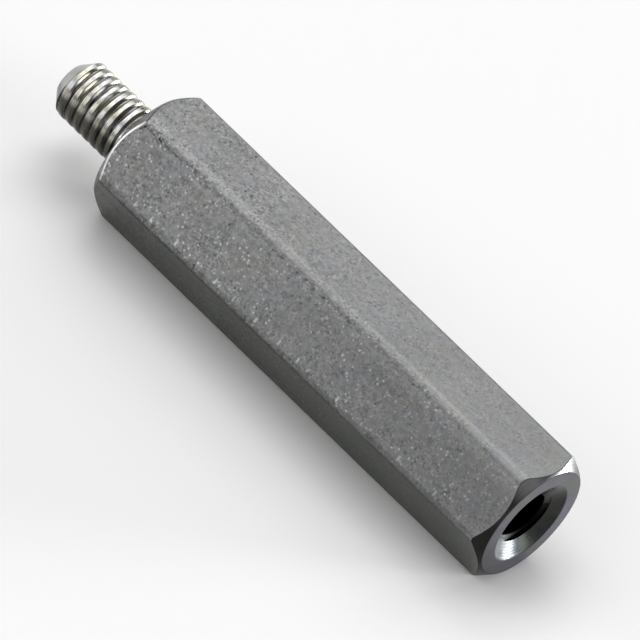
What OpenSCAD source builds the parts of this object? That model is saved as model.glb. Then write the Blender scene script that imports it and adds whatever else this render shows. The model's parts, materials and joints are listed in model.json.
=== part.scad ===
// Male-female hex standoff, one piece, turned from drawn stainless hex bar.
// It lies along X on one flat of the bar. The origin is the centre of the shoulder face:
// +X runs through the hex body to the tapped end, and the stud points along -X.

/* [Hex bar] */
// Width across the flats
across_flats = 6; // [5.5:0.1:10]
// Length of the hex body, from the shoulder to the tapped end
body_length = 25; // [15:1:60]
// Radius that drawing leaves on the six long edges
edge_radius = 0.35; // [0.1:0.05:0.6]

/* [End chamfers] */
// How far the chamfer bites into the end face at the middle of each flat
chamfer_bite = 0.1; // [0.05:0.05:0.3]
// Slope of the chamfer, measured from the end face
chamfer_angle = 45; // [20:1:60]

/* [Thread] */
// Nominal diameter of both threads
thread_diameter = 3; // [2:0.5:4]
// Pitch of both threads
thread_pitch = 0.5; // [0.35:0.05:0.7]

/* [Stud] */
// Length of the stud, from the shoulder to its tip
stud_length = 4.7; // [3:0.1:12]
// How far the stud's crests are turned under the nominal diameter
crest_allowance = 0.05; // [0:0.01:0.12]
// Length of the lead-in chamfer at the tip
tip_chamfer = 0.6; // [0.2:0.05:0.8]
// Slope of the lead-in chamfer, measured from the stud's side
tip_angle = 45; // [30:1:45]

/* [Tapped hole] */
// Depth of the drilled hole, from the end face to its full-width bottom
hole_depth = 10; // [4:0.5:12]
// Angle of the drill's point, across the cone
drill_point_angle = 118; // [90:1:140]
// How far the countersink's rim lies outside the thread
countersink_margin = 0.6; // [0.1:0.05:0.65]
// Angle of the countersink, across the cone
countersink_angle = 120; // [82:1:130]

/* [Hidden] */
$fn = 96;

sides = 6;
side_angle = 360 / sides;
flat_r = across_flats / 2;
corner_r = flat_r / cos(side_angle / 2);
// Each rounded edge stands this far proud of its flats until they trim it, so they meet in a line
edge_proud = 0.001;
edge_centre_r = corner_r - (edge_radius - edge_proud) / cos(side_angle / 2);
edge_chord_r = edge_centre_r + edge_radius * cos(side_angle / 2);

end_face_r = flat_r - chamfer_bite;
stud_r = (thread_diameter - crest_allowance) / 2;
tip_r = stud_r - tip_chamfer * tan(tip_angle);
hole_r = (thread_diameter - thread_pitch) / 2;
countersink_r = thread_diameter / 2 + countersink_margin;
countersink_depth = (countersink_r - hole_r) / tan(countersink_angle / 2);
drill_point = hole_r / tan(drill_point_angle / 2);

// How far a turned profile or a cutter runs on past the surface that it meets
overrun = 1;

// Cross-section of the drawn bar: a hexagon with each corner trimmed back to its radius
module bar_section() {
    difference() {
        rotate(side_angle / 2) circle(corner_r, $fn = sides);
        for (i = [0 : sides - 1]) rotate((i + 0.5) * side_angle) difference() {
            translate([edge_chord_r, -edge_radius]) square([overrun, 2 * edge_radius]);
            translate([edge_centre_r, 0]) circle(edge_radius);
        }
    }
}

// What the lathe leaves of the bar: both end faces, and the chamfers that scallop the flats
module turned_envelope() {
    reach = corner_r - end_face_r + overrun;
    rise = reach * tan(chamfer_angle);
    rotate_extrude() polygon([
        [0, 0],
        [end_face_r, 0],
        [end_face_r + reach, rise],
        [end_face_r + reach, body_length - rise],
        [end_face_r, body_length],
        [0, body_length]
    ]);
}

// The stud at its crest diameter, carried into the body so that the two are one
module stud() {
    rotate_extrude() polygon([
        [0, -stud_length],
        [tip_r, -stud_length],
        [stud_r, tip_chamfer - stud_length],
        [stud_r, overrun],
        [0, overrun]
    ]);
}

// Drill, its point and the countersink, as one cutter
module tapped_hole() {
    rotate_extrude() polygon([
        [0, body_length - hole_depth - drill_point],
        [hole_r, body_length - hole_depth],
        [hole_r, body_length - countersink_depth],
        [countersink_r, body_length],
        [countersink_r + overrun * tan(countersink_angle / 2), body_length + overrun],
        [0, body_length + overrun]
    ]);
}

module hex_standoff() {
    color("#9a9b99") rotate([0, 90, 0]) difference() {
        union() {
            intersection() {
                linear_extrude(body_length) bar_section();
                turned_envelope();
            }
            stud();
        }
        tapped_hole();
    }
}

hex_standoff();
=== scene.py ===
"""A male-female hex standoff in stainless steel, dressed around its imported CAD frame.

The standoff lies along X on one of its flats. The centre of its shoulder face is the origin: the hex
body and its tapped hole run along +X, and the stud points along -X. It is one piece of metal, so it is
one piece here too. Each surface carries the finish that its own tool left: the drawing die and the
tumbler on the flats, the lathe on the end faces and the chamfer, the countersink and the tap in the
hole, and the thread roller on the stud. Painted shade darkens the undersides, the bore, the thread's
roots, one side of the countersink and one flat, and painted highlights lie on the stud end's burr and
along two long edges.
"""

import json
import logging
import math
from collections.abc import Callable, Iterator
from contextlib import contextmanager
from dataclasses import dataclass, field
from enum import Enum

import bmesh
import bpy
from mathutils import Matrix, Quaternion, Vector

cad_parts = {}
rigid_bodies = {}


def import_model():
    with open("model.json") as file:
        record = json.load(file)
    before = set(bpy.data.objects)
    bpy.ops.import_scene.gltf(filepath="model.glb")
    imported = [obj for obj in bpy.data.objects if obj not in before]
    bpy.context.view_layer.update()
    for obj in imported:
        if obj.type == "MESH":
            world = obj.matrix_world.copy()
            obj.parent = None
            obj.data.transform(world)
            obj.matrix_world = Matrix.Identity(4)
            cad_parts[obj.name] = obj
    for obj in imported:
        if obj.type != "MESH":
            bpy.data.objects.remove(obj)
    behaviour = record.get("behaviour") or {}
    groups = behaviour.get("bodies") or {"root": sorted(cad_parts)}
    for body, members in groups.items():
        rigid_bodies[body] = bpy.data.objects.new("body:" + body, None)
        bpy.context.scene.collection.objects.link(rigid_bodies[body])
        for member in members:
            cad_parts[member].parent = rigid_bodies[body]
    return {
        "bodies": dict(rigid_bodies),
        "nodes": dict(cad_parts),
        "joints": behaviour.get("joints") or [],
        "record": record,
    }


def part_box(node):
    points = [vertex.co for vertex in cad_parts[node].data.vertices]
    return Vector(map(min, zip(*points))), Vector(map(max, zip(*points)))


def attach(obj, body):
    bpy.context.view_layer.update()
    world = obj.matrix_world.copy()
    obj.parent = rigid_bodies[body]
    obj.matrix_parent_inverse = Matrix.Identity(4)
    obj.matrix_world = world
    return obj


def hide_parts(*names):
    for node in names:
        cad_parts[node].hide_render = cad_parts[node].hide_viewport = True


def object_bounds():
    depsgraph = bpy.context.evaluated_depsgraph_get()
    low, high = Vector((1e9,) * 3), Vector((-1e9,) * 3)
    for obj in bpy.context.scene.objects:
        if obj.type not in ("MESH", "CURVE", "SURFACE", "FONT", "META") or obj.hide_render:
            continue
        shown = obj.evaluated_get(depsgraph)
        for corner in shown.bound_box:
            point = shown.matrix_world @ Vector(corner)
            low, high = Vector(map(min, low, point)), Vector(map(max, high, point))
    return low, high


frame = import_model()
CAD_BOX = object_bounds()

NODE = "hex_standoff"

# The metal is modelled in millimetres and brought to metres at the end, because the edit tools merge
# and clip at lengths that suit whole units
MM = 0.001

# Lengths that differ by less than this are taken as equal, in millimetres
CLOSE = 1e-3

# A face is square to X when its normal's X is over this
SQUARE = 0.99

# Noise seldom leaves this range
NOISE_LOW = 0.25
NOISE_HIGH = 0.75

# A spot's rim wanders by this share of its radius, in lobes of that share
RAG_DEPTH = 0.45
RAG_SIZE = 0.7

# The share of a spot's radius that has its full tone
SPOT_CORE = 0.25

AXIS = Vector((1, 0, 0))

Piece = bpy.types.Object
Element = bmesh.types.BMVert | bmesh.types.BMEdge | bmesh.types.BMFace
Socket = bpy.types.NodeSocket

log = logging.getLogger("standoff")


class Solver(Enum):
    """How a cutter is combined with a piece."""

    CUT = "DIFFERENCE"
    KEEP = "INTERSECT"
    JOIN = "UNION"


class Kind(Enum):
    """The kinds of element that edit mode selects, each with its name in a mesh."""

    VERT = "verts"
    EDGE = "edges"
    FACE = "faces"


class Surface(Enum):
    """The surfaces of the standoff, by the tool that left them, in the order of their material slots."""

    DRAWN_FLATS = 0
    TURNED_ENDS = 1
    CHAMFERS = 2
    # A painted highlight on the stud end's burr beside one flat
    BURNISHED_BURR = 3
    COUNTERSINK = 4
    TAPPED_BORE = 5
    ROLLED_THREAD = 6
    TIP_CHAMFER = 7


def linear(colour: str) -> tuple[float, float, float, float]:
    """Turns an sRGB colour into the linear one that shaders take.

    Args:
        colour: Six hex digits after a #.

    Returns:
        Red, green and blue as linear values, and full opacity.
    """
    # The sRGB curve has a straight foot
    channels = (int(colour[i : i + 2], 16) / 255 for i in (1, 3, 5))
    red, green, blue = (c / 12.92 if c <= 0.04045 else ((c + 0.055) / 1.055) ** 2.4 for c in channels)
    return red, green, blue, 1.0


# ---------------------------------------------------------------------------------------------------
# Modelling tools
# ---------------------------------------------------------------------------------------------------


def take_up(piece: Piece) -> None:
    """Makes a piece the only selected one, and the active one.

    Args:
        piece: The piece to work on next.
    """
    bpy.ops.object.select_all(action="DESELECT")
    piece.select_set(True)
    bpy.context.view_layer.objects.active = piece


@contextmanager
def editing(piece: Piece, kind: Kind) -> Iterator[None]:
    """Opens a piece in edit mode with nothing selected, and closes it again.

    Args:
        piece: The piece to edit.
        kind: The kind of element to select.

    Yields:
        Nothing; the piece is in edit mode meanwhile.
    """
    take_up(piece)
    bpy.ops.object.mode_set(mode="EDIT")
    bpy.ops.mesh.select_mode(type=kind.name)
    bpy.ops.mesh.select_all(action="DESELECT")
    yield
    bpy.ops.object.mode_set(mode="OBJECT")


def select_where(piece: Piece, kind: Kind, test: Callable[[Element], bool]) -> None:
    """Selects the elements of a piece in edit mode that pass a test, and nothing else.

    Args:
        piece: The piece that is in edit mode.
        kind: The kind of element to look at.
        test: Takes one element and says whether it is selected.
    """
    shape = bmesh.from_edit_mesh(piece.data)
    for element in getattr(shape, kind.value):
        element.select = test(element)
    shape.select_flush_mode()
    bmesh.update_edit_mesh(piece.data)


def apply_modifier(piece: Piece, kind: str, **settings: object) -> None:
    """Adds a modifier to a piece, and applies it.

    Args:
        piece: The piece to change.
        kind: The modifier's type.
        settings: The modifier's own properties.
    """
    take_up(piece)
    modifier = piece.modifiers.new(kind.title(), kind)
    for name, value in settings.items():
        setattr(modifier, name, value)
    bpy.ops.object.modifier_apply(modifier=modifier.name)


def combine(piece: Piece, tool: Piece, how: Solver) -> None:
    """Cuts, keeps or joins a piece with a tool, which is used up."""
    apply_modifier(piece, "BOOLEAN", operation=how.value, object=tool, solver="MANIFOLD")
    bpy.data.objects.remove(tool)


def add_rod(name: str, start: float, end: float, radius: float, sides: int) -> Piece:
    """Adds a plain rod along X, closed at both ends.

    Args:
        name: What the rod is called.
        start: Where it starts along X.
        end: Where it ends along X.
        radius: The radius of its corners.
        sides: How many sides it has.

    Returns:
        The rod, with its place in its mesh.
    """
    bpy.ops.object.select_all(action="DESELECT")
    bpy.ops.mesh.primitive_cylinder_add(
        vertices=sides,
        radius=radius,
        depth=end - start,
        location=((start + end) / 2, 0, 0),
        rotation=(0, math.pi / 2, 0),
    )
    rod = bpy.context.object
    rod.name = name
    bpy.ops.object.transform_apply(location=True, rotation=True, scale=True)
    return rod


def weld(limit: float) -> None:
    """Selects all of the piece in edit mode, and merges corners that lie closer than the limit."""
    bpy.ops.mesh.select_all(action="SELECT")
    bpy.ops.mesh.remove_doubles(threshold=limit)


def select_end(piece: Piece, x: float) -> None:
    """Selects the flat end of a piece in edit mode that stands square to X.

    Args:
        piece: The piece that is in edit mode.
        x: Where the end is along X.
    """
    select_where(
        piece,
        Kind.FACE,
        lambda face: abs(face.normal.x) > SQUARE and abs(face.calc_center_median().x - x) < CLOSE,
    )


def chamfer_end(piece: Piece, x: float, size: float) -> None:
    """Cuts a 45 degree chamfer round one end of a rod.

    Args:
        piece: The rod.
        x: Where the end is along X.
        size: The chamfer's width, along the rod and across its end.
    """
    with editing(piece, Kind.FACE):
        select_end(piece, x)
        bpy.ops.mesh.select_mode(type=Kind.EDGE.name)
        bpy.ops.mesh.region_to_loop()
        bpy.ops.mesh.bevel(offset=size, offset_type="OFFSET", segments=1, affect="EDGES")


def draw_out_end(piece: Piece, x: float, step: float, ratio: float) -> None:
    """Extrudes one end of a rod along X and scales it, as a taper or a point.

    Args:
        piece: The rod.
        x: Where the end is along X.
        step: How far the end moves along X.
        ratio: The new end's radius as a share of the old one's.
    """
    with editing(piece, Kind.FACE):
        select_end(piece, x)
        bpy.ops.mesh.extrude_region_move(TRANSFORM_OT_translate={"value": (step, 0, 0)})
        bpy.ops.transform.resize(value=(1, ratio, ratio), center_override=(x + step, 0, 0))


# ---------------------------------------------------------------------------------------------------
# Metal
# ---------------------------------------------------------------------------------------------------


@dataclass
class ThreadedRod:
    """A rod with a right-hand thread along X, its ends cut square.

    It is the stud where the thread stands out, and the tap where it cuts in. Lengths are in
    millimetres, and the thread's angle is in degrees.
    """

    name: str
    start: float
    end: float
    crest_r: float
    root_r: float
    pitch: float
    rounding: float
    crest_share: float = 1 / 8
    thread_angle: float = 60.0
    steps: int = 96
    rounding_segments: int = 3
    weld_limit: float = 1e-4
    cut_limit: float = 1e-5

    def profile(self) -> list[tuple[float, float]]:
        """Works out one tooth, from the middle of one root to the next.

        Returns:
            The steps from corner to corner, each along X and outwards.
        """
        depth = self.crest_r - self.root_r
        flank = depth * math.tan(math.radians(self.thread_angle / 2))
        crest = self.pitch * self.crest_share
        half_root = (self.pitch - crest - 2 * flank) / 2
        return [(half_root, 0), (flank, depth), (crest, 0), (flank, -depth), (half_root, 0)]

    def draw_tooth(self) -> Piece:
        """Draws one tooth as a line of edges above the axis, one turn before the rod's start.

        Returns:
            The line, with its inner corners rounded.
        """
        bpy.ops.object.select_all(action="DESELECT")
        bpy.ops.mesh.primitive_plane_add(location=(self.start - self.pitch, 0, self.root_r))
        tooth = bpy.context.object
        tooth.name = self.name
        bpy.ops.object.transform_apply(location=True)
        with editing(tooth, Kind.VERT):
            bpy.ops.mesh.select_all(action="SELECT")
            bpy.ops.mesh.merge(type="CENTER")
            for along, out in self.profile():
                bpy.ops.mesh.extrude_vertices_move(TRANSFORM_OT_translate={"value": (along, 0, out)})
            select_where(tooth, Kind.VERT, lambda corner: len(corner.link_edges) == 2)
            bpy.ops.mesh.bevel(
                offset=self.rounding,
                offset_type="OFFSET",
                segments=self.rounding_segments,
                affect="VERTICES",
            )
        return tooth

    def build(self) -> Piece:
        """Winds the tooth round X as a right-hand thread and closes both ends.

        Returns:
            The rod.
        """
        rod = self.draw_tooth()
        apply_modifier(
            rod,
            "SCREW",
            axis="X",
            angle=2 * math.pi,
            screw_offset=self.pitch,
            iterations=math.ceil((self.end - self.start) / self.pitch) + 2,
            steps=self.steps,
            render_steps=self.steps,
        )
        with editing(rod, Kind.VERT):
            weld(self.weld_limit)
            for x, beyond in ((self.start, False), (self.end, True)):
                bpy.ops.mesh.select_all(action="SELECT")
                bpy.ops.mesh.bisect(
                    plane_co=(x, 0, 0),
                    plane_no=AXIS,
                    use_fill=True,
                    clear_inner=not beyond,
                    clear_outer=beyond,
                    threshold=self.cut_limit,
                )
            bpy.ops.mesh.select_all(action="SELECT")
            bpy.ops.mesh.normals_make_consistent(inside=False)
        return rod


@dataclass(frozen=True)
class LongEdge:
    """The rounding of one long edge of the bar.

    A profile of 0.5 is a true arc. A higher one is keener in the middle, as tumbling leaves an edge
    that it has worn wide.
    """

    radius: float = 0.35
    profile: float = 0.5


@dataclass
class Standoff:
    """The whole standoff: a hex bar turned at both ends, tapped at one and with a stud on the other.

    Lengths are in millimetres and angles in degrees. The main sizes come from the CAD frame.
    """

    across_flats: float
    body_length: float
    stud_length: float
    stud_r: float
    hole_r: float

    # The drawn bar and its long edges, from the one at +Y, a sixth of a turn apart
    long_edges: tuple[LongEdge, ...] = (
        LongEdge(),
        LongEdge(),
        LongEdge(radius=0.92, profile=0.6),
        LongEdge(radius=0.62, profile=0.72),
        LongEdge(),
        LongEdge(),
    )
    edge_segments: int = 10

    # The turned ends, and how far each kind of turned edge is broken
    chamfer_bite: float = 0.1
    edge_break: float = 0.045
    keen_break: float = 0.018
    burr_break: float = 0.065
    break_segments: int = 3
    broken_angle: float = 20.0

    # Both threads. Rolling has left the stud's shallow, with wide crests
    pitch: float = 0.5
    thread_r: float = 1.5
    thread_sides: int = 96

    # The stud
    tip_chamfer: float = 0.6
    rolled_depth: float = 0.11
    rolled_crest: float = 0.42
    rolled_angle: float = 94.0
    rolled_rounding: float = 0.025
    rolled_segments: int = 4
    thread_shift: float = -0.07
    run_out: float = 0.7
    run_out_land: float = 0.3
    neck_relief: float = 0.05
    stud_clearance: float = 0.2

    # The hole
    hole_depth: float = 10.0
    drill_point_angle: float = 118.0
    drill_point_share: float = 0.001
    drill_allowance: float = 0.005
    drill_setback: float = 0.2
    tapped_depth: float = 8.5
    tap_lead: float = 0.9
    tap_rounding: float = 0.02
    tap_segments: int = 2
    tap_clearance: float = 0.15
    countersink_r: float = 2.1
    countersink_angle: float = 120.0
    countersink_tip_r: float = 0.2
    round_sides: int = 192

    # How far a cutter runs on past the surface that it meets
    overrun: float = 1.0

    # What counts as one corner, as one flat face and as one round surface
    sliver: float = 0.003
    weld_limit: float = 0.0005
    flat_angle: float = 0.2
    smooth_angle: float = 28.0

    # How far a face may lean or lie off to belong to a surface, where 0 is along the bar and 1 square
    square_tilt: float = 0.95
    flat_tilt: float = 0.1
    burr_tilt: float = 0.66
    tip_margin: float = 0.02

    surfaces: dict[Surface, bpy.types.Material] = field(default_factory=dict)

    @classmethod
    def from_frame(cls, packed: dict) -> "Standoff":
        """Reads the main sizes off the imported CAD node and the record's mounts.


        Returns:
            A standoff of that size.
        """
        low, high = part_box(NODE)
        radii = {m["name"]: m["dims"].get("r_mm") for m in packed["record"]["mounts"]}
        return cls(
            across_flats=(high.z - low.z) / MM,
            body_length=high.x / MM,
            stud_length=-low.x / MM,
            stud_r=radii["stud_thread"],
            hole_r=radii["tapped_hole"],
        )

    @property
    def end_face_r(self) -> float:
        """The radius of both end faces, inside their chamfers."""
        return self.across_flats / 2 - self.chamfer_bite

    @property
    def tip_r(self) -> float:
        """The radius of the stud's tip, inside its chamfer."""
        return self.stud_r - self.tip_chamfer

    @property
    def countersink_slope(self) -> float:
        """How far the countersink widens for each millimetre outwards."""
        return math.tan(math.radians(self.countersink_angle / 2))

    def draw_bar(self) -> Piece:
        """Makes the drawn hex bar, longer than the body, with its long edges rounded.

        Returns:
            The bar.
        """
        corner_r = self.across_flats / math.sqrt(3)
        bar = add_rod("bar", -self.overrun, self.body_length + self.overrun, corner_r, 6)
        with editing(bar, Kind.EDGE):
            for sixth, edge in enumerate(self.long_edges):
                corner = Quaternion(AXIS, sixth * math.pi / 3) @ Vector((0, corner_r, 0))
                select_where(
                    bar,
                    Kind.EDGE,
                    lambda line: all((end.co.yz - corner.yz).length < CLOSE for end in line.verts),
                )
                bpy.ops.mesh.bevel(
                    offset=edge.radius * math.tan(math.pi / 6),
                    offset_type="OFFSET",
                    segments=self.edge_segments,
                    profile=edge.profile,
                    affect="EDGES",
                )
        return bar

    def turn_ends(self, bar: Piece) -> None:
        """Turns both ends: the lathe leaves flat faces, and chamfers that scallop the flats.

        Args:
            bar: The drawn bar.
        """
        chamfer = self.across_flats / 2
        envelope_r = self.end_face_r + chamfer
        envelope = add_rod("envelope", 0, self.body_length, envelope_r, self.round_sides)
        for x in (0, self.body_length):
            chamfer_end(envelope, x, chamfer)
        combine(bar, envelope, Solver.KEEP)

    def countersink(self, bar: Piece) -> None:
        """Sinks the cone that leads into the hole.

        Args:
            bar: The bar with its ends turned.
        """
        mouth = self.body_length + self.overrun
        mouth_r = self.countersink_r + self.overrun * self.countersink_slope
        depth = (mouth_r - self.countersink_tip_r) / self.countersink_slope
        tool = add_rod("countersink", mouth, mouth + self.overrun, mouth_r, self.round_sides)
        draw_out_end(tool, mouth, -depth, self.countersink_tip_r / mouth_r)
        combine(bar, tool, Solver.CUT)

    def break_edges(self, bar: Piece) -> None:
        """Takes the sharpness off every turned edge, after merging slivers away.

        Args:
            bar: The bar with its ends turned and countersunk.
        """
        with editing(bar, Kind.VERT):
            weld(self.sliver)
            bpy.ops.mesh.select_all(action="SELECT")
            bpy.ops.mesh.dissolve_limited(angle_limit=math.radians(self.flat_angle))
        turned = math.radians(self.broken_angle)
        middle = self.body_length / 2
        # Halfway down the chamfer's bite, so that only the scallops lie outside it
        scallops_r = self.across_flats / 2 - self.chamfer_bite / 2
        # Each edge's weight is its own break in millimetres, since the bevel is 1 mm wide
        with editing(bar, Kind.EDGE):
            select_where(bar, Kind.EDGE, lambda edge: edge.calc_face_angle() > turned)
            bpy.ops.transform.edge_bevelweight(value=self.edge_break)
            for at_stud, size in ((True, self.burr_break), (False, self.keen_break)):
                select_where(
                    bar,
                    Kind.EDGE,
                    lambda edge: edge.calc_face_angle() > turned
                    and (edge.verts[0].co.x < middle) == at_stud
                    and min(end.co.yz.length for end in edge.verts) > scallops_r,
                )
                bpy.ops.transform.edge_bevelweight(value=size - self.edge_break)
        apply_modifier(
            bar,
            "BEVEL",
            width=1.0,
            segments=self.break_segments,
            limit_method="WEIGHT",
            use_clamp_overlap=False,
        )

    def tap_hole(self, bar: Piece) -> None:
        """Drills the hole with its point, and taps it short of the drill's full depth.

        Args:
            bar: The countersunk bar.
        """
        bottom = self.body_length - self.hole_depth
        mouth = self.body_length + self.overrun
        thread_start = self.body_length - self.tapped_depth
        tap = ThreadedRod(
            name="tap",
            start=thread_start,
            end=mouth - self.pitch,
            crest_r=self.thread_r,
            root_r=self.hole_r,
            pitch=self.pitch,
            rounding=self.tap_rounding,
            rounding_segments=self.tap_segments,
        ).build()
        lead_r = self.thread_r + self.tap_clearance
        lead = add_rod("tap_lead", thread_start - self.tap_lead, mouth, lead_r, self.thread_sides)
        chamfer_end(lead, thread_start - self.tap_lead, self.tap_lead)
        combine(tap, lead, Solver.KEEP)
        # The drill is a hair under the tap's root and ends short of the mouth, so no walls coincide
        drill_r = self.hole_r - self.drill_allowance
        drill = add_rod("drill", bottom, mouth - self.drill_setback, drill_r, self.thread_sides)
        point = drill_r / math.tan(math.radians(self.drill_point_angle / 2))
        draw_out_end(drill, bottom, -point, self.drill_point_share)
        combine(tap, drill, Solver.JOIN)
        combine(bar, tap, Solver.CUT)

    def add_stud(self, bar: Piece) -> None:
        """Rolls the stud's thread, chamfers its tip, and runs the thread out at the shoulder.

        Args:
            bar: The bar with its hole.
        """
        root_r = self.stud_r - self.rolled_depth
        stud = ThreadedRod(
            name="stud",
            start=-self.stud_length - self.pitch + self.thread_shift,
            end=-self.run_out_land,
            crest_r=self.stud_r,
            root_r=root_r,
            pitch=self.pitch,
            rounding=self.rolled_rounding,
            crest_share=self.rolled_crest,
            thread_angle=self.rolled_angle,
            rounding_segments=self.rolled_segments,
        ).build()
        clear_r = self.stud_r + self.stud_clearance
        blank = add_rod("stud_blank", -self.stud_length, self.overrun, clear_r, self.thread_sides)
        chamfer_end(blank, -self.stud_length, clear_r - self.tip_r)
        combine(stud, blank, Solver.KEEP)
        neck = add_rod("run_out", -self.run_out_land, self.overrun, self.stud_r, self.thread_sides)
        neck_r = root_r - self.neck_relief
        draw_out_end(neck, -self.run_out_land, -self.run_out, neck_r / self.stud_r)
        combine(stud, neck, Solver.JOIN)
        combine(bar, stud, Solver.JOIN)

    def surface_of(self, face: bmesh.types.BMFace) -> Surface:
        """Says which tool left a face.

        Args:
            face: A face of the bar.

        Returns:
            The surface, from the face's place and the way it faces.
        """
        centre = face.calc_center_median()
        radius = math.hypot(centre.y, centre.z)
        tilt = abs(face.normal.x)
        from_end = min(abs(centre.x - end) for end in (-self.stud_length, 0, self.body_length))
        if tilt > self.square_tilt and from_end < CLOSE:
            return Surface.TURNED_ENDS
        if centre.x < -CLOSE:
            tip_cone_r = self.tip_r + self.stud_length + centre.x
            on_tip = abs(radius - tip_cone_r) < self.tip_margin
            return Surface.TIP_CHAMFER if on_tip else Surface.ROLLED_THREAD
        if radius < self.countersink_r + self.edge_break:
            cone_x = self.body_length - (self.countersink_r - radius) / self.countersink_slope
            on_cone = centre.x > cone_x - self.edge_break
            return Surface.COUNTERSINK if on_cone else Surface.TAPPED_BORE
        if tilt < self.flat_tilt:
            return Surface.DRAWN_FLATS
        if centre.x > self.body_length / 2:
            return Surface.CHAMFERS
        # The stud end was tumbled as the flats were, and its burr on one flat carries a painted
        # highlight
        half_flat = self.across_flats * math.tan(math.pi / 6) / 2
        painted_highlight = centre.z > 0 and centre.y < -half_flat and tilt < self.burr_tilt
        return Surface.BURNISHED_BURR if painted_highlight else Surface.DRAWN_FLATS

    def dress(self, bar: Piece) -> None:
        """Gives each surface its material and smooths what is round.

        Args:
            bar: The finished shape.
        """
        bar.data.materials.clear()
        for surface in Surface:
            bar.data.materials.append(self.surfaces[surface])
        for surface in Surface:
            with editing(bar, Kind.FACE):
                select_where(bar, Kind.FACE, lambda face: self.surface_of(face) is surface)
                bar.active_material_index = surface.value
                bpy.ops.object.material_slot_assign()
        take_up(bar)
        bpy.ops.object.shade_smooth_by_angle(angle=math.radians(self.smooth_angle))
        # The wide flats keep their own normals beside the narrow rounded edges
        apply_modifier(bar, "WEIGHTED_NORMAL", mode="FACE_AREA", keep_sharp=True)

    def build(self) -> Piece:
        """Makes the standoff from the bar to the last thread, in metres and in its place.

        Returns:
            The finished piece.
        """
        bar = self.draw_bar()
        self.turn_ends(bar)
        self.countersink(bar)
        self.break_edges(bar)
        self.tap_hole(bar)
        self.add_stud(bar)
        with editing(bar, Kind.VERT):
            weld(self.weld_limit)
            bpy.ops.mesh.normals_make_consistent(inside=False)
        self.dress(bar)
        bar.name = "standoff_metal"
        bar.data.name = bar.name
        take_up(bar)
        bar.scale = (MM, MM, MM)
        bpy.ops.object.transform_apply(location=True, rotation=True, scale=True)
        return bar


# ---------------------------------------------------------------------------------------------------
# Finishes
# ---------------------------------------------------------------------------------------------------


@dataclass(frozen=True)
class Nodes:
    """The node tree of a material or of the world."""

    tree: bpy.types.NodeTree

    @classmethod
    def of(cls, owner: bpy.types.Material | bpy.types.World) -> "Nodes":
        """Turns nodes on for a material or the world, and clears them.

        Args:
            owner: The material or the world.

        Returns:
            Its empty node tree.
        """
        owner.use_nodes = True
        owner.node_tree.nodes.clear()
        return cls(owner.node_tree)

    def add(
        self,
        kind: str,
        inputs: dict[str | int, object] | None = None,
        **settings: object,
    ) -> bpy.types.Node:
        """Adds a node with its settings, and sets or links its inputs.

        Args:
            kind: The node's type.
            inputs: By name or number, a value to set or another node's output to link.
            settings: The node's own properties.

        Returns:
            The node.
        """
        node = self.tree.nodes.new(kind)
        for name, value in settings.items():
            setattr(node, name, value)
        for name, value in (inputs or {}).items():
            if isinstance(value, Socket):
                self.tree.links.new(value, node.inputs[name])
            else:
                node.inputs[name].default_value = value
        return node


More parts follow.
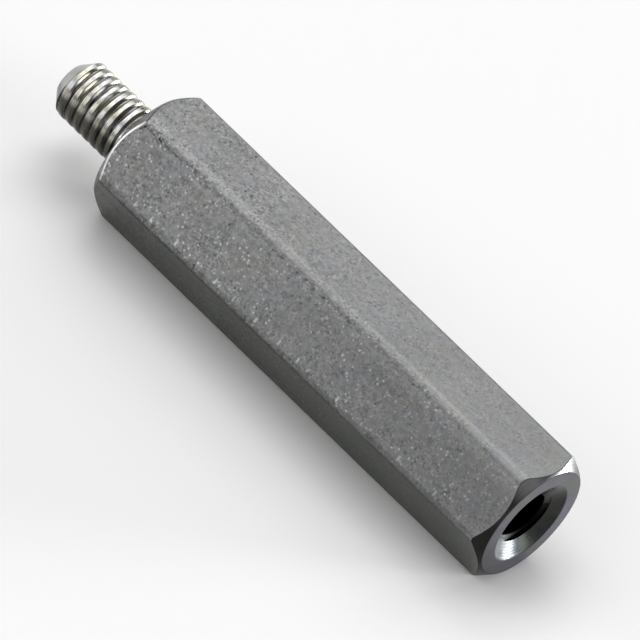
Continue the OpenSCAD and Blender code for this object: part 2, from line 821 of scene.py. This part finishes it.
@dataclass(frozen=True)
class Pattern(Nodes):
    """Patterns that a material's nodes lay on the part.

    They are laid by the place on the part, in millimetres.
    """

    place: Socket

    def swing(
        self,
        size: float,
        amount: float,
        stretch: tuple[float, float, float] = (1, 1, 1),
        detail: float = 2.0,
    ) -> Socket:
        """Makes uneven patches that swing either side of zero.

        Args:
            size: How large the patches are, in millimetres.
            amount: How far they swing from zero.
            stretch: How many times longer the patches are along X, Y and Z.
            detail: How many finer octaves are added.

        Returns:
            The patches.
        """
        scale = tuple(1 / (size * longer) for longer in stretch)
        where = self.add("ShaderNodeMapping", {"Vector": self.place, "Scale": scale})
        noise = self.add(
            "ShaderNodeTexNoise",
            {"Vector": where.outputs["Vector"], "Scale": 1.0, "Detail": detail},
        )
        patches = self.add(
            "ShaderNodeMapRange",
            {
                "Value": noise.outputs["Fac"],
                "From Min": NOISE_LOW,
                "From Max": NOISE_HIGH,
                "To Min": -amount,
                "To Max": amount,
            },
        )
        return patches.outputs["Result"]

    def patchy(
        self,
        size: float,
        swings: tuple[float, float],
        shares: tuple[float, float] = (0.0, 1.0),
        stretch: tuple[float, float, float] = (1, 1, 1),
    ) -> Socket:
        """Makes patches that say how much of something shows.

        Args:
            size: How large the patches are, in millimetres.
            swings: Where between -1 and 1 the patches' swing starts and stops to matter.
            shares: How much shows at those two.
            stretch: How many times longer the patches are along X, Y and Z.

        Returns:
            How much shows.
        """
        shown = self.add(
            "ShaderNodeMapRange",
            {
                "Value": self.swing(size, 1.0, stretch),
                "From Min": swings[0],
                "From Max": swings[1],
                "To Min": shares[0],
                "To Max": shares[1],
            },
        )
        return shown.outputs["Result"]

    def spots(
        self,
        spacing: float,
        radius: float,
        tone: float | Socket,
        offset: float = 0.0,
    ) -> Socket:
        """Scatters ragged spots through the metal, so that a surface cuts each one at its own width.

        Args:
            spacing: How far apart the spots are, in millimetres.
            radius: The radius of the widest spots, in millimetres.
            tone: How far the middle of a spot takes the tone up or down.
            offset: Moves the pattern, so that two don't fall on each other.

        Returns:
            The tone in the middle of a spot, falling to 0 at its rim.
        """
        where = self.add(
            "ShaderNodeMapping",
            {"Vector": self.place, "Location": (offset,) * 3, "Scale": (1 / spacing,) * 3},
        )
        cells = self.add("ShaderNodeTexVoronoi", {"Vector": where.outputs["Vector"], "Scale": 1.0})
        # Distances in the pattern are shares of its spacing
        reach = radius / spacing
        rim = self.swing(RAG_SIZE * radius, RAG_DEPTH * reach)
        ragged = self.add("ShaderNodeMath", {0: cells.outputs["Distance"], 1: rim}, operation="ADD")
        spot = self.add(
            "ShaderNodeMapRange",
            {
                "Value": ragged.outputs[0],
                "From Min": SPOT_CORE * reach,
                "From Max": reach,
                "To Min": tone,
                "To Max": 0.0,
            },
            interpolation_type="SMOOTHSTEP",
        )
        return spot.outputs["Result"]

    def off_axis(self) -> Socket:
        """Measures how far the place is from the part's axis.

        Returns:
            The distance, in millimetres.
        """
        across = self.add("ShaderNodeVectorMath", {0: self.place, 1: (0, 1, 1)}, operation="MULTIPLY")
        radius = self.add("ShaderNodeVectorMath", {0: across.outputs["Vector"]}, operation="LENGTH")
        return radius.outputs["Value"]

    def between(self, angle: Socket, limits: tuple[float, float], marks: Socket) -> Socket:
        """Shows marks only between two angles round the axis, and 0 elsewhere.

        Args:
            angle: Where the place is round the axis from +Y, in radians.
            limits: The angles where the marks start and end, in degrees.
            marks: How far the marks take the tone up or down.

        Returns:
            The same, where the marks show.
        """
        first, last = (math.radians(limit) for limit in limits)
        middle = (first + last) / 2
        half = (last - first) / 2
        off = self.add("ShaderNodeMath", {0: angle, 1: middle}, operation="SUBTRACT")
        distance = self.add("ShaderNodeMath", {0: off.outputs[0]}, operation="ABSOLUTE")
        # The marks fade out over the outer two thirds
        inside = self.add(
            "ShaderNodeMapRange",
            {"Value": distance.outputs[0], "From Min": half, "From Max": half / 3},
            interpolation_type="SMOOTHSTEP",
        )
        shown = self.add(
            "ShaderNodeMath",
            {0: inside.outputs["Result"], 1: marks},
            operation="MULTIPLY",
        )
        return shown.outputs[0]


@dataclass(frozen=True)
class Marks:
    """What a tool leaves in the metal, each as the output of a node.

    Tone multiplies the colour, roughness is the whole roughness, and height is in millimetres.
    """

    tone: Socket
    roughness: Socket
    height: Socket


@dataclass(frozen=True)
class SteelFinish:
    """Austenitic stainless steel, a grey metal with hardly any tint of its own.

    A thin oily film leaves faintly tinted patches. One side carries painted shade, which is the
    underside unless the finish says otherwise. The side is an angle round the axis from +Y, in degrees,
    and the painted shade deepens over a range of millimetres towards that side. Each tool's finish is a
    class of its own, which adds that tool's marks.
    """

    name: str
    colour: str
    film_colour: str
    roughness: float
    film_size: float = 1.2
    film_swings: tuple[float, float] = (-0.5, 0.5)
    # Painted shade: the colour is multiplied by this towards one side
    painted_shade_colour: str = "#d7dcd1"
    painted_shade_side: float = 270.0
    painted_shade_from: float = -0.05
    painted_shade_to: float = 0.15

    def marks(self, pattern: Pattern) -> Marks:
        """Makes the tool's marks, in the class of each tool's finish."""
        raise NotImplementedError

    def combined(
        self,
        pattern: Pattern,
        tones: list[Socket],
        roughness: Socket,
        height: Socket,
        strength: Socket | float = 1.0,
    ) -> Marks:
        """Adds several swings of tone up, and one swing of roughness to the finish's own.

        Args:
            pattern: What lays patterns on the part.
            tones: How far each mark takes the tone up or down from 1.
            roughness: How far the roughness swings.
            height: The relief, in millimetres.
            strength: How strongly the tones show.

        Returns:
            The marks.
        """
        total = tones[0]
        for tone in tones[1:]:
            total = pattern.add("ShaderNodeMath", {0: total, 1: tone}, operation="ADD").outputs[0]
        tone = pattern.add("ShaderNodeMath", {0: total, 1: strength, 2: 1.0}, operation="MULTIPLY_ADD")
        rough = pattern.add("ShaderNodeMath", {0: roughness, 1: self.roughness}, operation="ADD")
        return Marks(tone.outputs[0], rough.outputs[0], height)

    def material(self) -> bpy.types.Material:
        """Builds the material.

        Returns:
            The material, ready for a slot.
        """
        made = bpy.data.materials.new(self.name)
        nodes = Nodes.of(made)
        coordinates = nodes.add("ShaderNodeTexCoord")
        millimetres = nodes.add(
            "ShaderNodeMapping",
            {"Vector": coordinates.outputs["Object"], "Scale": (1 / MM,) * 3},
        )
        pattern = Pattern(nodes.tree, millimetres.outputs["Vector"])
        marks = self.marks(pattern)
        # Painted shade: the colour darkens towards one side
        side = math.radians(self.painted_shade_side)
        towards = pattern.add(
            "ShaderNodeVectorMath",
            {0: pattern.place, 1: (0, math.cos(side), math.sin(side))},
            operation="DOT_PRODUCT",
        )
        shade_mask = pattern.add(
            "ShaderNodeMapRange",
            {"Value": towards.outputs["Value"], "From Min": self.painted_shade_from, "From Max": self.painted_shade_to},
            interpolation_type="SMOOTHSTEP",
        )
        film = pattern.patchy(self.film_size, self.film_swings)
        tinted = pattern.add(
            "ShaderNodeMix",
            {0: film, 6: linear(self.colour), 7: linear(self.film_colour)},
            data_type="RGBA",
        )
        shaded_colour = pattern.add(
            "ShaderNodeMix",
            {0: shade_mask.outputs["Result"], 6: tinted.outputs[2], 7: linear(self.painted_shade_colour)},
            data_type="RGBA",
            blend_type="MULTIPLY",
        )
        toned = pattern.add(
            "ShaderNodeVectorMath",
            {0: shaded_colour.outputs[2], "Scale": marks.tone},
            operation="SCALE",
        )
        bump = pattern.add("ShaderNodeBump", {"Height": marks.height, "Distance": MM})
        shader = pattern.add(
            "ShaderNodeBsdfPrincipled",
            {
                "Base Color": toned.outputs["Vector"],
                "Metallic": 1.0,
                "Roughness": marks.roughness,
                "Normal": bump.outputs["Normal"],
            },
        )
        pattern.add("ShaderNodeOutputMaterial", {"Surface": shader.outputs["BSDF"]})
        return made


@dataclass(frozen=True)
class ToneLine:
    """A line along the bar, at one angle round its axis from +Y, in degrees.

    Width and dash are in millimetres, and dash is how long its pieces are. Tone is how far it goes up
    or down. Filled says how much of it shows: it is broken up at 0 and whole at 1. The whole ones are
    painted highlights and painted shade at the long edges, and the broken ones are marks in the metal.
    """

    angle: float
    width: float
    dash: float
    tone: float
    filled: float = 0.15


@dataclass(frozen=True)
class DrawnSteel(SteelFinish):
    """Bar as the drawing die and the tumbler left it.

    It looks satin and grainy, with mottling, bright nicks and dark pits, faint lines along the bar,
    and small marks beside an edge where the lathe's bar feed held it. Two long edges carry painted
    highlights and a third carries painted shade, and one flat has painted shade deepening towards the
    tapped end. Sizes are in millimetres, and angles in degrees round the axis from +Y.
    """

    # The tumbler's stones leave a grain of about a tenth of a millimetre
    grain_size: float = 0.11
    grain_tone: float = 0.34
    grain_depth: float = 0.003
    grain_patch: float = 0.7
    grain_swings: tuple[float, float] = (-0.4, 0.4)
    grain_shares: tuple[float, float] = (0.4, 1.3)

    # Mottling, broad clouds and the die's faint lines
    mottle_size: float = 0.3
    mottle_tone: float = 0.24
    mottle_roughness: float = 0.04
    cloud_size: float = 3.0
    cloud_tone: float = 0.1
    line_size: float = 0.35
    line_tone: float = 0.06
    line_stretch: float = 40.0

    # Bright nicks, fainter above top_from, and dark pits
    nick_spacing: float = 0.24
    nick_radius: float = 0.075
    nick_tone: float = 1.4
    nick_cluster: float = 1.1
    nick_swings: tuple[float, float] = (-0.7, 0.5)
    nick_share_on_top: float = 0.2
    top_from: float = 2.85
    top_to: float = 2.95
    pit_spacing: float = 0.36
    pit_radius: float = 0.095
    pit_tone: float = -0.35
    pit_offset: float = 7.3

    # How strongly all marks show at either end of the bar
    stud_end_strength: float = 1.25
    tapped_end_strength: float = 0.5
    body_length: float = 25.0

    # Marks of the bar feed
    feed_pitch: float = 1.3
    feed_stretch: float = 20.0
    feed_mark_length: float = 0.07
    feed_mark_tone: float = 1.5
    feed_mark_patch: float = 0.9
    feed_mark_swings: tuple[float, float] = (-0.5, 0.1)
    feed_mark_angles: tuple[float, float] = (171.5, 177.5)

    # Painted shade on one flat, deepening towards the tapped end
    flat_shade_tone: float = -0.4
    flat_shade_from: float = 10.0
    flat_shade_angles: tuple[float, float] = (112.0, 200.0)

    # Lines along the bar, in dashes that fade at their ends, as wide as given at the long edges; the
    # whole ones are painted highlights and painted shade
    edge_r: float = 3.3
    dash_stretch: float = 3.0
    dash_fade: float = 0.65
    tone_lines: tuple[ToneLine, ...] = (
        # Painted highlight along the long edge at 60 degrees
        ToneLine(60.8, 0.38, 5.0, 0.4, filled=0.9),
        ToneLine(87.5, 0.09, 6.0, -0.1),
        # Painted highlight beside the long edge at 120 degrees
        ToneLine(117.3, 0.5, 5.0, 0.07, filled=0.9),
        ToneLine(119.2, 0.06, 0.35, 0.25),
        ToneLine(124.7, 0.16, 0.22, -0.45),
        ToneLine(129.0, 0.3, 0.12, 0.3),
        # Painted shade along the long edge at 180 degrees
        ToneLine(-177.0, 0.24, 4.0, -0.4, filled=0.9),
    )

    def marks(self, pattern: Pattern) -> Marks:
        """Makes the grain, mottling, nicks, pits, lines, feed marks and the painted shade on one flat.

        Args:
            pattern: What lays patterns on the part.

        Returns:
            The marks.
        """
        position = pattern.add("ShaderNodeSeparateXYZ", {"Vector": pattern.place})
        angle = pattern.add(
            "ShaderNodeMath",
            {0: position.outputs["Z"], 1: position.outputs["Y"]},
            operation="ARCTAN2",
        ).outputs[0]
        # The grain comes and goes in patches
        grain = pattern.add(
            "ShaderNodeMath",
            {
                0: pattern.swing(self.grain_size, self.grain_tone, detail=1.0),
                1: pattern.patchy(self.grain_patch, self.grain_swings, self.grain_shares),
            },
            operation="MULTIPLY",
        ).outputs[0]
        # Nicks lie in clusters, and the uppermost flat has fainter ones
        strongest = pattern.add(
            "ShaderNodeMapRange",
            {
                "Value": position.outputs["Z"],
                "From Min": self.top_from,
                "From Max": self.top_to,
                "To Min": self.nick_tone,
                "To Max": self.nick_tone * self.nick_share_on_top,
            },
        )
        nick_tone = pattern.add(
            "ShaderNodeMath",
            {
                0: strongest.outputs["Result"],
                1: pattern.patchy(self.nick_cluster, self.nick_swings),
            },
            operation="MULTIPLY",
        )
        tones = [
            grain,
            pattern.swing(self.mottle_size, self.mottle_tone),
            pattern.swing(self.cloud_size, self.cloud_tone),
            pattern.swing(self.line_size, self.line_tone, stretch=(self.line_stretch, 1, 1)),
            pattern.spots(self.nick_spacing, self.nick_radius, nick_tone.outputs[0]),
            pattern.spots(self.pit_spacing, self.pit_radius, self.pit_tone, self.pit_offset),
            self.feed_marks(pattern, position.outputs["X"], angle),
            self.shade_one_flat(pattern, position.outputs["X"], angle),
            *(self.lay_tone_line(pattern, angle, tone_line) for tone_line in self.tone_lines),
        ]
        strength = pattern.add(
            "ShaderNodeMapRange",
            {
                "Value": position.outputs["X"],
                "From Max": self.body_length,
                "To Min": self.stud_end_strength,
                "To Max": self.tapped_end_strength,
            },
        )
        rough = pattern.swing(self.mottle_size, self.mottle_roughness)
        height = pattern.add(
            "ShaderNodeMath",
            {0: grain, 1: self.grain_depth / (2 * self.grain_tone)},
            operation="MULTIPLY",
        )
        return self.combined(pattern, tones, rough, height.outputs[0], strength.outputs["Result"])

    def feed_marks(self, pattern: Pattern, along: Socket, angle: Socket) -> Socket:
        """Makes short bright marks across one flat, beside a long edge, one for each feed.

        Args:
            pattern: What lays patterns on the part.
            along: How far the place is along X, in millimetres.
            angle: Where the place is round the axis from +Y, in radians.

        Returns:
            How far the marks take the tone up.
        """
        # The feed wanders by up to a quarter of its pitch, in stretches of about two pitches, and
        # by the same amount all across the flat
        wander = pattern.swing(
            2 * self.feed_pitch,
            self.feed_pitch / 4,
            stretch=(1, self.feed_stretch, self.feed_stretch),
            detail=0.0,
        )
        moved = pattern.add("ShaderNodeMath", {0: along, 1: wander}, operation="ADD")
        from_mark = pattern.add(
            "ShaderNodeMath",
            {0: moved.outputs[0], 1: self.feed_pitch / 2},
            operation="PINGPONG",
        )
        mark = pattern.add(
            "ShaderNodeMapRange",
            {
                "Value": from_mark.outputs[0],
                "From Max": self.feed_mark_length,
                "To Min": self.feed_mark_tone,
                "To Max": 0.0,
            },
        )
        broken_up = pattern.add(
            "ShaderNodeMath",
            {
                0: mark.outputs["Result"],
                1: pattern.patchy(self.feed_mark_patch, self.feed_mark_swings),
            },
            operation="MULTIPLY",
        )
        return pattern.between(angle, self.feed_mark_angles, broken_up.outputs[0])

    def shade_one_flat(self, pattern: Pattern, along: Socket, angle: Socket) -> Socket:
        """Paints shade on one flat and its edges, deepening towards the tapped end.

        Args:
            pattern: What lays patterns on the part.
            along: How far the place is along X, in millimetres.
            angle: Where the place is round the axis from +Y, in radians.

        Returns:
            How far the painted shade takes the tone down.
        """
        flat_shade = pattern.add(
            "ShaderNodeMapRange",
            {
                "Value": along,
                "From Min": self.flat_shade_from,
                "From Max": self.body_length,
                "To Max": self.flat_shade_tone,
            },
        )
        return pattern.between(angle, self.flat_shade_angles, flat_shade.outputs["Result"])

    def lay_tone_line(self, pattern: Pattern, angle: Socket, tone_line: ToneLine) -> Socket:
        """Makes a line along the bar.

        Args:
            pattern: What lays patterns on the part.
            angle: Where the place is round the axis from +Y, in radians.
            tone_line: The line.

        Returns:
            How far the line takes the tone up or down.
        """
        shown = pattern.patchy(
            tone_line.dash / self.dash_stretch,
            swings=(-tone_line.filled, self.dash_fade - tone_line.filled),
            shares=(0.0, tone_line.tone),
            stretch=(self.dash_stretch, 1, 1),
        )
        reach = math.degrees(tone_line.width / 2 / self.edge_r)
        return pattern.between(angle, (tone_line.angle - reach, tone_line.angle + reach), shown)


@dataclass(frozen=True)
class TurnedSteel(SteelFinish):
    """Metal cut on the lathe, with fine rings round the axis, smears and small tears.

    The feed is 0.05 mm a turn. The rings are drawn 0.11 mm apart, because closer ones are too fine
    to show. Wander is how far they stray, in radians of a ring.
    """

    ring_pitch: float = 0.11
    ring_tone: float = 0.06
    ring_depth: float = 0.0006
    smear_size: float = 0.7
    smear_tone: float = 0.14
    smear_roughness: float = 0.04
    tear_size: float = 0.12
    tear_tone: float = 0.06
    wander_size: float = 1.5
    wander: float = 3.0

    def marks(self, pattern: Pattern) -> Marks:
        """Makes the turned rings, and the smears and fine tears between them.

        Args:
            pattern: What lays patterns on the part.

        Returns:
            The marks.
        """
        turns = pattern.add(
            "ShaderNodeMath",
            {
                0: pattern.off_axis(),
                1: 2 * math.pi / self.ring_pitch,
                2: pattern.swing(self.wander_size, self.wander),
            },
            operation="MULTIPLY_ADD",
        )
        rings = pattern.add("ShaderNodeMath", {0: turns.outputs[0]}, operation="SINE").outputs[0]
        tone, height = (
            pattern.add("ShaderNodeMath", {0: rings, 1: most}, operation="MULTIPLY").outputs[0]
            for most in (self.ring_tone, self.ring_depth)
        )
        tones = [
            tone,
            pattern.swing(self.smear_size, self.smear_tone),
            pattern.swing(self.tear_size, self.tear_tone),
        ]
        rough = pattern.swing(self.smear_size, self.smear_roughness)
        return self.combined(pattern, tones, rough, height)


@dataclass(frozen=True)
class RolledSteel(SteelFinish):
    """Thread rolled between dies: burnished bright on the crests, with painted shade in the roots.

    Fine streaks run round it, the way the dies slid. The painted shade is darkest in the roots below
    low_z, and lightest above high_z.
    """

    streak_size: float = 0.03
    streak_tone: float = 0.45
    streak_stretch: float = 18.0
    streak_depth: float = 0.001
    smear_size: float = 0.5
    smear_tone: float = 0.12
    smear_roughness: float = 0.06
    root_r: float = 1.365
    unshaded_r: float = 1.4
    root_shade_tone: float = -0.45
    low_root_shade_tone: float = -0.85
    high_z: float = 1.35
    low_z: float = 0.9

    def marks(self, pattern: Pattern) -> Marks:
        """Makes the streaks round the thread, and the painted shade in its roots.

        Args:
            pattern: What lays patterns on the part.

        Returns:
            The marks.
        """
        position = pattern.add("ShaderNodeSeparateXYZ", {"Vector": pattern.place})
        # Painted shade in the thread's roots, deepest on the underside
        lower_shade = pattern.add(
            "ShaderNodeMapRange",
            {
                "Value": position.outputs["Z"],
                "From Min": self.low_z,
                "From Max": self.high_z,
                "To Min": self.low_root_shade_tone,
                "To Max": self.root_shade_tone,
            },
        )
        root_shade = pattern.add(
            "ShaderNodeMapRange",
            {
                "Value": pattern.off_axis(),
                "From Min": self.root_r,
                "From Max": self.unshaded_r,
                "To Min": lower_shade.outputs["Result"],
                "To Max": 0.0,
            },
        )
        stretch = (1, self.streak_stretch, self.streak_stretch)
        streaks = pattern.swing(self.streak_size, self.streak_tone, stretch)
        tones = [
            root_shade.outputs["Result"],
            streaks,
            pattern.swing(self.smear_size, self.smear_tone),
        ]
        height = pattern.add(
            "ShaderNodeMath",
            {0: streaks, 1: self.streak_depth},
            operation="MULTIPLY",
        )
        rough = pattern.swing(self.smear_size, self.smear_roughness)
        return self.combined(pattern, tones, rough, height.outputs[0])


FINISHES = {
    # Drawn and tumbled: an even satin grey, with painted shade on the underside
    Surface.DRAWN_FLATS: DrawnSteel("drawn_stainless_steel", "#747473", "#727374", 0.36, film_size=0.9),
    # Faced on the lathe: smooth, and faintly blue under its oil
    Surface.TURNED_ENDS: TurnedSteel(
        "turned_stainless_steel",
        "#5d5b66",
        "#595c5a",
        0.35,
        film_size=1.6,
        smear_tone=0.2,
        painted_shade_colour="#ffffff",
    ),
    # Chamfered on the lathe: smooth and dark, with painted shade below
    Surface.CHAMFERS: TurnedSteel(
        "chamfered_stainless_steel",
        "#3e3d3c",
        "#3b3d3e",
        0.33,
        painted_shade_colour="#a8a8a6",
        painted_shade_from=-1.8,
        painted_shade_to=-0.6,
    ),
    # The lathe's burr on one flat: a thin painted highlight
    Surface.BURNISHED_BURR: TurnedSteel(
        "burnished_stainless_steel",
        "#c4c4c3",
        "#c1c2c3",
        0.35,
        painted_shade_colour="#ffffff",
    ),
    # Countersunk: the smoothest cut, with broad bright and dark smears, and painted shade towards +Y
    Surface.COUNTERSINK: TurnedSteel(
        "countersunk_stainless_steel",
        "#6b7178",
        "#6d6f6d",
        0.28,
        film_size=0.7,
        smear_tone=0.3,
        painted_shade_colour="#77786f",
        painted_shade_side=10.0,
        painted_shade_from=-0.9,
        painted_shade_to=0.6,
    ),
    # Tapped: painted shade, nearly black all through the hole
    Surface.TAPPED_BORE: TurnedSteel("tapped_stainless_steel", "#080808", "#0a0a09", 0.45),
    # Rolled: the brightest and faintly warm, in narrow bands, with painted shade in the roots and on the
    # underside
    Surface.ROLLED_THREAD: RolledSteel(
        "rolled_stainless_steel",
        "#b1ae9e",
        "#aaaaab",
        0.25,
        film_size=0.6,
        painted_shade_colour="#7d7c78",
        painted_shade_from=-0.5,
        painted_shade_to=-0.1,
    ),
    # The blank's own chamfer, polished by the rolling dies, with painted shade on the underside
    Surface.TIP_CHAMFER: TurnedSteel(
        "tip_stainless_steel",
        "#a3a4a6",
        "#9d9d9c",
        0.25,
        film_size=0.5,
        smear_tone=0.3,
        painted_shade_colour="#a6a5a2",
        painted_shade_from=-0.5,
        painted_shade_to=-0.1,
    ),
}


# ---------------------------------------------------------------------------------------------------
# Studio
# ---------------------------------------------------------------------------------------------------


def direction(azimuth: float, elevation: float) -> Vector:
    """Gives the direction from the part to a place round it.

    Args:
        azimuth: Degrees round from the front, where 0 is -Y and 90 is +X.
        elevation: Degrees above the floor.

    Returns:
        A direction of length 1.
    """
    turn, height = math.radians(azimuth), math.radians(elevation)
    return Vector(
        (math.sin(turn) * math.cos(height), -math.cos(turn) * math.cos(height), math.sin(height))
    )


@dataclass(frozen=True)
class Softbox:
    """A soft light, with its direction in degrees and its sizes in metres.

    Its level is how bright a white card that faces it renders.
    """

    name: str
    azimuth: float
    elevation: float
    level: float
    width: float
    height: float
    distance: float = 2.0

    def hang(self, aim: Vector) -> None:
        """Hangs the light and turns it to face a point.

        Args:
            aim: The point, in metres.
        """
        bpy.ops.object.select_all(action="DESELECT")
        away = direction(self.azimuth, self.elevation)
        bpy.ops.object.light_add(type="AREA", location=aim + away * self.distance)
        lamp = bpy.context.object
        lamp.name = self.name
        lamp.rotation_mode = "QUATERNION"
        lamp.rotation_quaternion = away.to_track_quat("Z", "Y")
        lamp.data.shape = "RECTANGLE"
        lamp.data.size = self.width
        lamp.data.size_y = self.height
        lamp.data.energy = self.level * (math.pi * self.distance) ** 2
        lamp.visible_camera = False


@dataclass
class Studio:
    """A pale floor, soft lights and the camera.

    The floor, the centre and the clip distances are in metres. The camera's aim, distance, lens and
    sensor are in millimetres.
    """

    floor_z: float
    centre: Vector
    softboxes: tuple[Softbox, ...] = (
        Softbox("back_high", 212.0, 55.0, 0.215, 2.2, 0.7),
        Softbox("back", 207.0, 38.0, 0.215, 2.2, 0.7),
        Softbox("back_low", 205.0, 10.0, 0.055, 2.2, 0.3),
        Softbox("overhead", 245.0, 68.0, 0.182, 1.2, 1.2),
        Softbox("overhead_left", 300.0, 60.0, 0.14, 0.9, 0.9),
        Softbox("front_high", 330.0, 47.0, 0.05, 2.2, 0.4),
        Softbox("front", 335.0, 34.0, 0.155, 2.6, 0.4),
        Softbox("front_low", 335.0, 20.0, 0.155, 2.6, 0.5),
        Softbox("front_lowest", 336.0, 8.0, 0.02, 2.6, 0.25),
        Softbox("right", 95.0, 30.0, 0.23, 1.4, 0.5),
        Softbox("rim_right", 115.0, 3.0, 0.07, 0.35, 0.12),
        Softbox("rim_back_right", 145.0, 3.0, 1.15, 0.35, 0.12),
        Softbox("rim_back", 155.0, 1.5, 1.09, 0.35, 0.08),
        Softbox("left_low", 288.0, 6.0, 0.24, 2.0, 0.3),
    )
    world_level: float = 0.12
    floor_colour: str = "#fafafa"
    floor_roughness: float = 0.9
    floor_width: float = 6.0
    camera_azimuth: float = 27.1
    camera_elevation: float = 38.32
    camera_roll: float = 26.4
    camera_aim: Vector = field(default_factory=lambda: Vector((10.003, 2.861, -2.546)))
    camera_distance: float = 760.8
    lens: float = 981.0
    sensor: float = 36.0
    clip: tuple[float, float] = (0.01, 20.0)

    def lay_floor(self) -> None:
        """Lays the floor under the part."""
        bpy.ops.object.select_all(action="DESELECT")
        bpy.ops.mesh.primitive_plane_add(size=self.floor_width, location=(0, 0, self.floor_z))
        floor = bpy.context.object
        floor.name = "floor"
        # Matt white card, which shows the part's soft shadow and hardly reflects it
        made = bpy.data.materials.new("pale_floor")
        nodes = Nodes.of(made)
        shader = nodes.add(
            "ShaderNodeBsdfPrincipled",
            {
                "Base Color": linear(self.floor_colour),
                "Roughness": self.floor_roughness,
                "Specular IOR Level": 0.0,
            },
        )
        nodes.add("ShaderNodeOutputMaterial", {"Surface": shader.outputs["BSDF"]})
        floor.data.materials.append(made)

    def fill_world(self) -> None:
        """Surrounds the part with plain even light."""
        world = bpy.data.worlds.new("studio")
        bpy.context.scene.world = world
        nodes = Nodes.of(world)
        even = nodes.add(
            "ShaderNodeBackground",
            {"Color": linear("#ffffff"), "Strength": self.world_level},
        )
        nodes.add("ShaderNodeOutputWorld", {"Surface": even.outputs["Background"]})

    def place_camera(self) -> None:
        """Places the camera, turned about its own axis as it was held."""
        back = direction(self.camera_azimuth, self.camera_elevation)
        bpy.ops.object.select_all(action="DESELECT")
        bpy.ops.object.camera_add(location=(self.camera_aim + back * self.camera_distance) * MM)
        camera = bpy.context.object
        camera.name = "camera"
        camera.rotation_mode = "QUATERNION"
        level = back.to_track_quat("Z", "Y")
        camera.rotation_quaternion = level @ Quaternion((0, 0, 1), math.radians(self.camera_roll))
        camera.data.lens = self.lens
        camera.data.sensor_width = self.sensor
        camera.data.clip_start, camera.data.clip_end = self.clip
        bpy.context.scene.camera = camera

    def build(self) -> None:
        """Sets the whole studio up."""
        self.lay_floor()
        for softbox in self.softboxes:
            softbox.hang(self.centre)
        self.fill_world()
        self.place_camera()
        bpy.context.scene.view_settings.view_transform = "Standard"


def main() -> None:
    """Builds the studio and the standoff."""
    logging.basicConfig(level=logging.INFO, format="%(name)s: %(message)s")
    low, high = CAD_BOX
    studio = Studio(floor_z=low.z, centre=(low + high) / 2)
    studio.build()
    log.info("studio has a floor, a camera and %d softboxes", len(studio.softboxes))
    standoff = Standoff.from_frame(frame)
    standoff.surfaces = {surface: finish.material() for surface, finish in FINISHES.items()}
    metal = standoff.build()
    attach(metal, "root")
    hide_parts(NODE)
    log.info("%s has %d faces", metal.name, len(metal.data.polygons))


if __name__ == "__main__":
    main()
